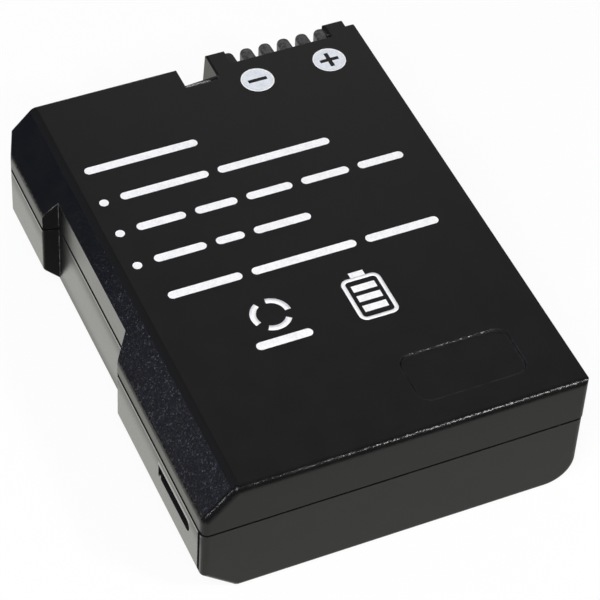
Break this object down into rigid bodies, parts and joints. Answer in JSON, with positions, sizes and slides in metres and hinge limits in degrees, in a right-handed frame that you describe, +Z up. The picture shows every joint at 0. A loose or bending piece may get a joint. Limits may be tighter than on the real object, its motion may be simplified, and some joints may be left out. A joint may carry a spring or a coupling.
{
  "type": "camera battery",
  "caption": "Slim black rechargeable camera battery: a bevelled case welded from cover and tray, with a comb of contact slots at one end and flat cells inside.",
  "frame": {"origin": "middle of the case's floor, on the plane that it lies on", "axes": "+Y towards the contact end, +Z up through the roof, +X across the width to the side without bevels"},
  "size_m": [0.038, 0.053, 0.014],
  "materials": {
    "cover_plastic": "spark-eroded black moulded plastic, satin roof and grained bevel",
    "case_plastic": "satin black moulded plastic",
    "cell_can": "drawn can, plain",
    "pad_foam": "soft dark foam",
    "clear_tape": "double-sided tape",
    "insulating_paper": "pressed fibre sheet",
    "board_resin": "green solder mask",
    "part_resin": "moulded package",
    "nickel_strip": "rolled nickel",
    "contact_metal": "gold-flashed spring strip",
    "print_white": "white pad print",
    "print_silver": "silver-grey pad print"
  },
  "bodies": {
    "root": {"upper_cover": "cover_plastic", "lower_case": "case_plastic", "lower_cell": "cell_can", "upper_cell": "cell_can", "floor_pad": "pad_foam", "ceiling_pad": "pad_foam", "cell_tape": "clear_tape", "lid_sheet": "insulating_paper", "circuit_board": "board_resin", "protection_chip": "part_resin", "transistor_pair": "part_resin", "thermistor": "part_resin", "small_parts": "part_resin", "series_strap": "nickel_strip", "positive_strap": "nickel_strip", "negative_strap": "nickel_strip", "contact_clip_1": "contact_metal", "contact_clip_2": "contact_metal", "contact_clip_3": "contact_metal", "contact_clip_4": "contact_metal", "contact_clip_5": "contact_metal"}
  },
  "joints": []
}
